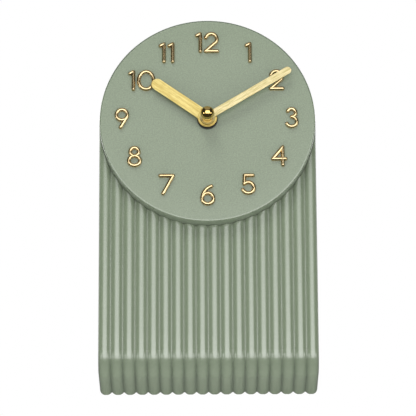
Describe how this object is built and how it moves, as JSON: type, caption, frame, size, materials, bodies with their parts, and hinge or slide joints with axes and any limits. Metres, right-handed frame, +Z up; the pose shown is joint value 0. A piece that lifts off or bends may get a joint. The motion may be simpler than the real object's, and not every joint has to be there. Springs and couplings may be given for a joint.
{
  "type": "reeded arch-top mantel clock",
  "caption": "Upright mantel clock with an arched top, a proud round dial with applied numerals and gold hands, and a reeded case front that rolls under the foot.",
  "frame": {"origin": "middle of the footprint box, on the surface that the clock stands on", "axes": "+Z up, dial facing -Y, +X to the right as the dial is read"},
  "size_m": [0.112, 0.0582, 0.1905],
  "materials": {
    "case_green": "satin sage green",
    "dial_green": "matte sage green",
    "back_green": "fine-grained sage green",
    "numeral_gold": "polished gold",
    "hand_gold": "brushed gold",
    "nut_gold": "mirror-polished gold",
    "black_nut": "black",
    "movement_black": "moulded black",
    "screw_steel": "zinc plated",
    "motor_steel": "bright",
    "contact_steel": "nickel plated",
    "gear_white": "natural white",
    "arbor_brass": "turned",
    "magnet_grey": "ground",
    "winding_copper": "lacquered copper wire",
    "board_green": "solder mask",
    "chip_black": "potting resin",
    "crystal_silver": "drawn can",
    "cell_jacket": "printed jacket",
    "washer_rubber": "matte",
    "weight_iron": "bare"
  },
  "bodies": {
    "root": {"case_shell": "case_green", "dial_plate": "dial_green", "rear_cover": "back_green", "numeral_1": "numeral_gold", "numeral_2": "numeral_gold", "numeral_3": "numeral_gold", "numeral_4": "numeral_gold", "numeral_5": "numeral_gold", "numeral_6": "numeral_gold", "numeral_7": "numeral_gold", "numeral_8": "numeral_gold", "numeral_9": "numeral_gold", "numeral_10": "numeral_gold", "numeral_11": "numeral_gold", "numeral_12": "numeral_gold", "bush_nut": "black_nut", "movement_front": "movement_black", "movement_back": "movement_black", "coil_bobbin": "movement_black", "rear_screws": "screw_steel", "dial_screws": "screw_steel", "lid_screws": "screw_steel", "weight_screws": "screw_steel", "stator": "motor_steel", "coil_core": "motor_steel", "contact_positive": "contact_steel", "contact_negative": "contact_steel", "coil_winding": "winding_copper", "circuit_board": "board_green", "chip_cover": "chip_black", "quartz_crystal": "crystal_silver", "battery_cell": "cell_jacket", "bush_washer": "washer_rubber", "foot_weight": "weight_iron"},
    "minute_hand": {"minute_arbor": "arbor_brass", "clutch_spring": "contact_steel", "minute_hand": "hand_gold", "hand_nut": "nut_gold"},
    "hour_hand": {"hour_wheel": "gear_white", "hour_hand": "hand_gold"},
    "motion_wheel": {"motion_wheel": "gear_white"},
    "setting_knob": {"setting_knob": "movement_black"},
    "seconds_wheel": {"seconds_wheel": "gear_white"},
    "third_wheel": {"third_wheel": "gear_white"},
    "centre_wheel": {"centre_wheel": "gear_white"},
    "step_wheel": {"step_wheel": "gear_white"},
    "rotor": {"rotor": "magnet_grey"},
    "battery_hatch": {"battery_hatch": "back_green"}
  },
  "joints": [
    {"name": "minute_hand_turn", "type": "hinge", "parent": "root", "child": "minute_hand", "pos_m": [0, 0.0015, 0.1345], "axis": [0, 1, 0], "continuous": true},
    {"name": "hour_hand_turn", "type": "hinge", "parent": "root", "child": "hour_hand", "pos_m": [0, 0.0015, 0.1345], "axis": [0, 1, 0], "continuous": true},
    {"name": "motion_wheel_turn", "type": "hinge", "parent": "root", "child": "motion_wheel", "pos_m": [0, 0.0015, 0.1425], "axis": [0, 1, 0], "continuous": true},
    {"name": "setting_knob_turn", "type": "hinge", "parent": "root", "child": "setting_knob", "pos_m": [0, 0.0015, 0.1505], "axis": [0, 1, 0], "continuous": true},
    {"name": "seconds_wheel_turn", "type": "hinge", "parent": "root", "child": "seconds_wheel", "pos_m": [0, 0.0015, 0.1345], "axis": [0, 1, 0], "continuous": true},
    {"name": "third_wheel_turn", "type": "hinge", "parent": "root", "child": "third_wheel", "pos_m": [0.0102, 0.0015, 0.1345], "axis": [0, 1, 0], "continuous": true},
    {"name": "centre_wheel_turn", "type": "hinge", "parent": "root", "child": "centre_wheel", "pos_m": [0, 0.0015, 0.1345], "axis": [0, 1, 0], "continuous": true},
    {"name": "step_wheel_turn", "type": "hinge", "parent": "root", "child": "step_wheel", "pos_m": [-0.01008, 0.0015, 0.1345], "axis": [0, 1, 0], "continuous": true},
    {"name": "rotor_turn", "type": "hinge", "parent": "root", "child": "rotor", "pos_m": [-0.01728, 0.0015, 0.1345], "axis": [0, 1, 0], "continuous": true},
    {"name": "hatch_lift", "type": "slide", "parent": "root", "child": "battery_hatch", "axis": [0, 1, 0], "range_m": [0, 0.03]}
  ],
  "couplings": [
    {"joint": "hour_hand_turn", "follows": "minute_hand_turn", "ratio": 0.083333},
    {"joint": "motion_wheel_turn", "follows": "minute_hand_turn", "ratio": -0.33333},
    {"joint": "setting_knob_turn", "follows": "minute_hand_turn", "ratio": 1},
    {"joint": "step_wheel_turn", "follows": "rotor_turn", "ratio": -0.2},
    {"joint": "seconds_wheel_turn", "follows": "rotor_turn", "ratio": 0.033333},
    {"joint": "third_wheel_turn", "follows": "rotor_turn", "ratio": -0.0044444},
    {"joint": "centre_wheel_turn", "follows": "rotor_turn", "ratio": 0.00055556}
  ]
}
